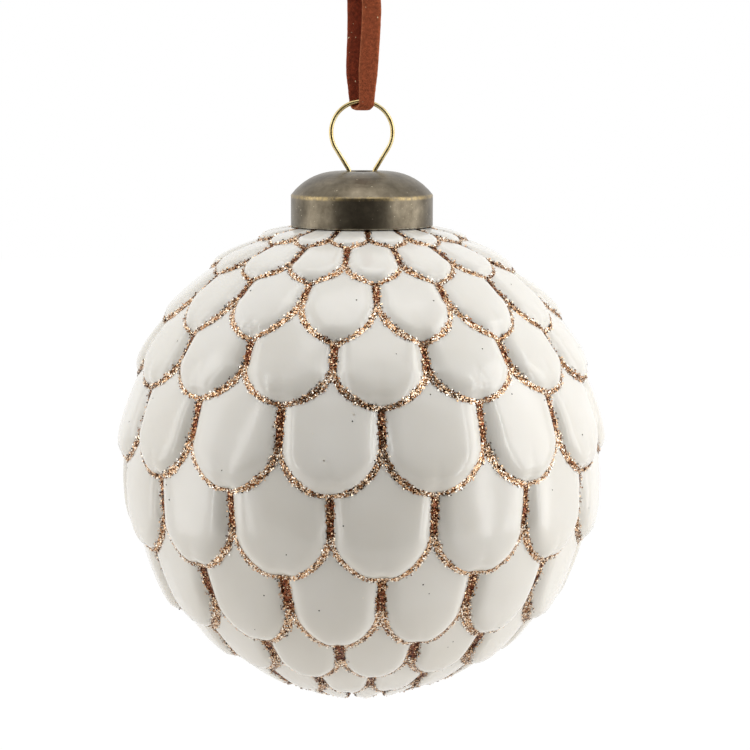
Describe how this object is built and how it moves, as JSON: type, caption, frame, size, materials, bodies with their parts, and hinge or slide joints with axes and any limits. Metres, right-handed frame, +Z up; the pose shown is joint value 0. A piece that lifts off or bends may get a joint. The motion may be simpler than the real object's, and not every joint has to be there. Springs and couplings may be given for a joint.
{
  "type": "glass bauble",
  "caption": "Mouth-blown milk-white glass ball moulded with overlapping scales, copper glitter in the grooves, a brass cap, a wire hanger and a suede cord.",
  "frame": {"origin": "the hanging point: the inside top of the wire eye, where the cord bears", "axes": "+Z is up along the ball's axis, +X across the wire eye to the right, -Y is the side that faces the camera"},
  "size_m": [0.0793, 0.0794, 0.1296],
  "materials": {
    "milk_glass": "glossy opaque milk-white blown glass",
    "copper_glitter": "fine copper glitter set in glue",
    "antiqued_brass": "stamped brass, darkened and worn bright along its edges",
    "brass_wire": "bright drawn brass spring wire",
    "suede_cord": "flat reddish-brown suede cord with cut edges"
  },
  "bodies": {
    "root": {"glass_bauble": "milk_glass", "glitter_lines": "copper_glitter", "cap": "antiqued_brass", "wire_hanger": "brass_wire", "hanging_cord": "suede_cord", "cord_knot": "suede_cord"}
  },
  "joints": []
}
